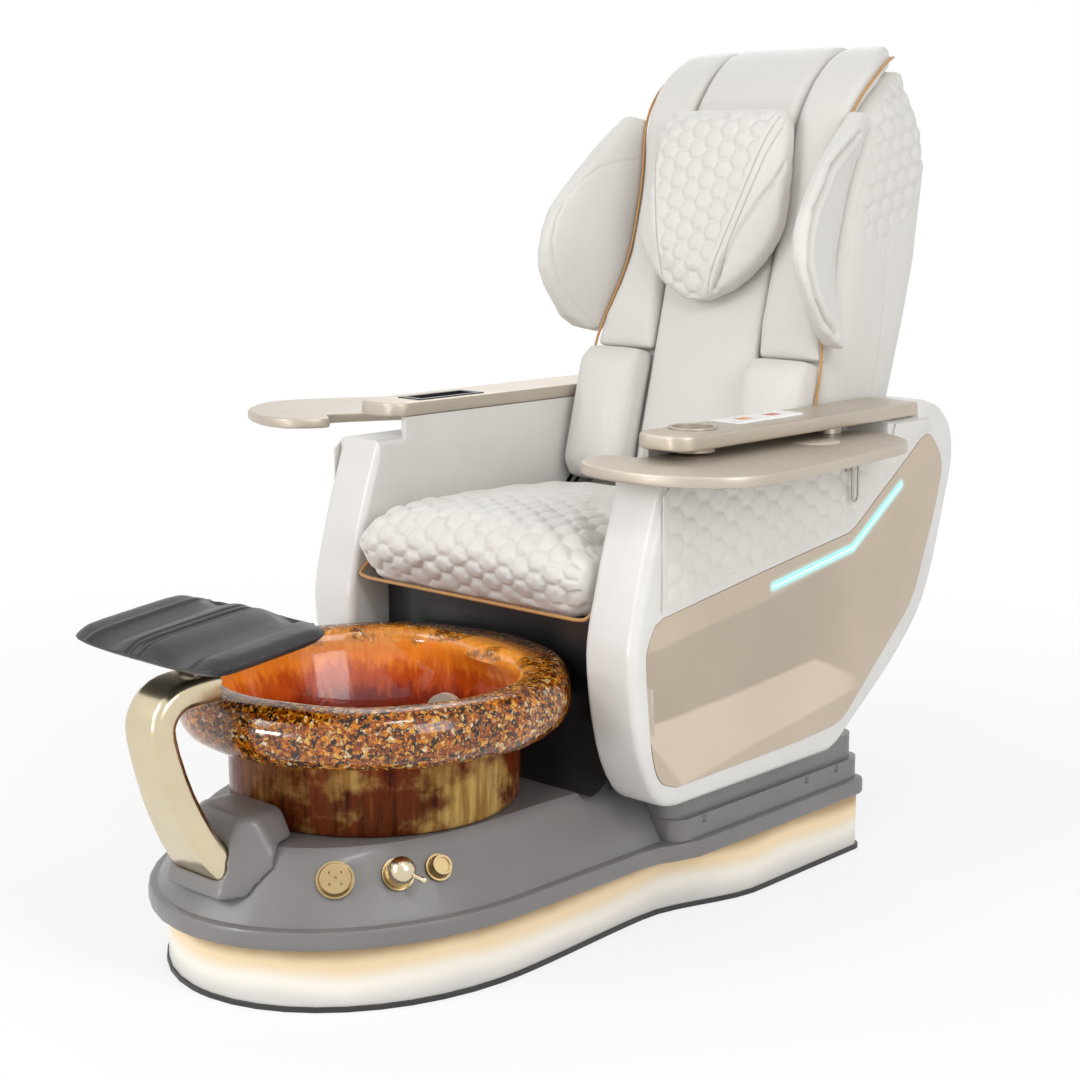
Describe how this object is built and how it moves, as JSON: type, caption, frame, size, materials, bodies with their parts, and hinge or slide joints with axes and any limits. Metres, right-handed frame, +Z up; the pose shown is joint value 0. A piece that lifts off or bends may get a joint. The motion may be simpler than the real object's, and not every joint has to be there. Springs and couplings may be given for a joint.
{
  "type": "pedicure spa chair",
  "caption": "Pedicure spa chair with a reclining, sliding quilted seat between side arms with swing-out trays, a glass foot bowl with taps, and a padded footrest on a curved stem.",
  "frame": {"origin": "on the floor, under the middle of the base", "axes": "+Z up, the foot bowl and footrest are at -Y, +X is the sitter's left"},
  "size_m": [1.3493, 1.7223, 1.5209],
  "materials": {
    "trim_black": "matt black edge strip",
    "skirt": "translucent warm white, lit from behind at its upper edge",
    "steel_grey": "satin grey powder coat",
    "foot_black": "matt black",
    "deck": "satin grey moulded plastic",
    "black_panel": "gloss black",
    "black_plastic": "matt black",
    "red_plastic": "gloss red rocker",
    "champagne_gold": "polished champagne gold plating",
    "antique_gold": "satin antique gold",
    "bright_steel": "satin steel",
    "pad_grey": "satin dark grey moulded foam skin",
    "art_glass": "thick hand-worked glass, orange with brown, black and gold flecks",
    "ivory_plastic": "gloss ivory",
    "white_plastic": "gloss white",
    "casing": "soft-gloss warm white moulded casing",
    "panel_beige": "satin beige",
    "light": "lit cyan strip",
    "quilt": "warm white quilted leather",
    "champagne": "satin champagne lacquer",
    "hook_metal": "satin nickel",
    "keypad_white": "white keypad face",
    "key_orange": "orange key",
    "key_red": "red key",
    "zinc": "zinc plated",
    "leather": "warm white leather",
    "piping": "tan piping",
    "motor_black": "black actuator housing",
    "frame_steel": "dark grey powder coat",
    "alloy": "cast alloy"
  },
  "bodies": {
    "base": {"base_trim": "trim_black", "base_skirt": "skirt", "base_frame": "steel_grey", "leveling_feet": "foot_black", "base_deck": "deck", "plinth": "deck", "riser": "deck", "front_panel": "black_panel", "rear_panel": "black_plastic", "power_inlet": "black_plastic", "foot_socket": "deck", "foot_stem": "champagne_gold", "foot_bracket": "bright_steel", "bowl": "art_glass", "jet_housing": "ivory_plastic", "drain": "bright_steel", "control_flanges": "antique_gold", "arm_right": "casing", "arm_left": "casing", "side_panels": "panel_beige", "light_strips": "light", "quilt_pads": "quilt", "rail_right": "champagne", "rail_left": "champagne", "cup_holder": "champagne", "phone_slot": "black_plastic", "keypad": "keypad_white", "bag_hooks": "hook_metal", "tray_pivots": "zinc", "seat_frame": "frame_steel", "slide_rails": "zinc", "slide_motor": "motor_black"},
    "power_switch": {"power_switch": "red_plastic"},
    "foot_pad": {"foot_pad": "pad_grey"},
    "jet_impeller": {"jet_impeller": "white_plastic"},
    "drain_stopper": {"drain_stopper": "bright_steel"},
    "spray_head": {"spray_head": "antique_gold"},
    "mixer_collar": {"mixer_collar": "antique_gold"},
    "mixer_lever": {"mixer_lever": "champagne_gold"},
    "diverter_knob": {"diverter_knob": "antique_gold"},
    "tray_right": {"tray_right": "champagne"},
    "tray_left": {"tray_left": "champagne"},
    "recline_key": {"recline_key": "key_orange"},
    "slide_key": {"slide_key": "key_red"},
    "carriage": {"carriage": "frame_steel", "seat_cushion": "leather", "seat_piping": "piping", "slide_rod": "zinc"},
    "back": {"back_frame": "frame_steel", "back_shell": "leather", "back_center": "leather", "back_strips": "leather", "lumbar_pads": "leather", "back_hood": "leather", "pillow": "leather", "wings": "leather", "back_piping": "piping"},
    "massage_carriage": {"massage_carriage": "alloy"},
    "massage_rollers": {"massage_rollers": "foot_black"}
  },
  "joints": [
    {"name": "switch_rock", "type": "hinge", "parent": "base", "child": "power_switch", "pos_m": [-0.12, 0.541, 0.288], "axis": [1, 0, 0], "range_deg": [-10, 10]},
    {"name": "foot_pad_tilt", "type": "hinge", "parent": "base", "child": "foot_pad", "pos_m": [0, -0.64, 0.544], "axis": [1, 0, 0], "range_deg": [-12, 12]},
    {"name": "jet_spin", "type": "hinge", "parent": "base", "child": "jet_impeller", "pos_m": [-0.03751, -0.05128, 0.3303], "axis": [0.1736, -0.9848, 0], "continuous": true},
    {"name": "stopper_lift", "type": "slide", "parent": "base", "child": "drain_stopper", "axis": [0, 0, 1], "range_m": [0, 0.012]},
    {"name": "spray_pull", "type": "slide", "parent": "base", "child": "spray_head", "axis": [0.6304, -0.5478, 0.55], "range_m": [0, 0.06]},
    {"name": "mixer_turn", "type": "hinge", "parent": "base", "child": "mixer_collar", "pos_m": [0.24075, -0.43965, 0.20412], "axis": [0.7531, -0.3611, 0.55], "range_deg": [-45, 45]},
    {"name": "mixer_lift", "type": "hinge", "parent": "mixer_collar", "child": "mixer_lever", "pos_m": [0.26259, -0.45012, 0.22007], "axis": [0.1246, -0.7425, -0.6581], "range_deg": [0, 20]},
    {"name": "diverter_turn", "type": "hinge", "parent": "base", "child": "diverter_knob", "pos_m": [0.26448, -0.3748, 0.20412], "axis": [0.8016, -0.2345, 0.55], "range_deg": [-60, 60]},
    {"name": "tray_right_swing", "type": "hinge", "parent": "base", "child": "tray_right", "pos_m": [0.345, 0.545, 0.805], "axis": [0, 0, 1], "range_deg": [0, 33]},
    {"name": "tray_left_swing", "type": "hinge", "parent": "base", "child": "tray_left", "pos_m": [-0.345, 0.545, 0.805], "axis": [0, 0, -1], "range_deg": [-29, 4]},
    {"name": "recline_press", "type": "slide", "parent": "base", "child": "recline_key", "axis": [0, 0, -1], "range_m": [0, 0.0018], "stiffness_N_per_m": 300, "springref_m": -0.001},
    {"name": "slide_press", "type": "slide", "parent": "base", "child": "slide_key", "axis": [0, 0, -1], "range_m": [0, 0.0018], "stiffness_N_per_m": 300, "springref_m": -0.001},
    {"name": "seat_slide", "type": "slide", "parent": "base", "child": "carriage", "axis": [0, -1, 0], "range_m": [0, 0.12]},
    {"name": "recline", "type": "hinge", "parent": "carriage", "child": "back", "pos_m": [0, 0.56, 0.565], "axis": [-1, 0, 0], "range_deg": [0, 26]},
    {"name": "massage_travel", "type": "slide", "parent": "back", "child": "massage_carriage", "axis": [0, 0.2419, 0.9703], "range_m": [0, 0.44]},
    {"name": "roller_spin", "type": "hinge", "parent": "massage_carriage", "child": "massage_rollers", "pos_m": [0, 0.64469, 0.8058], "axis": [1, 0, 0], "continuous": true}
  ]
}
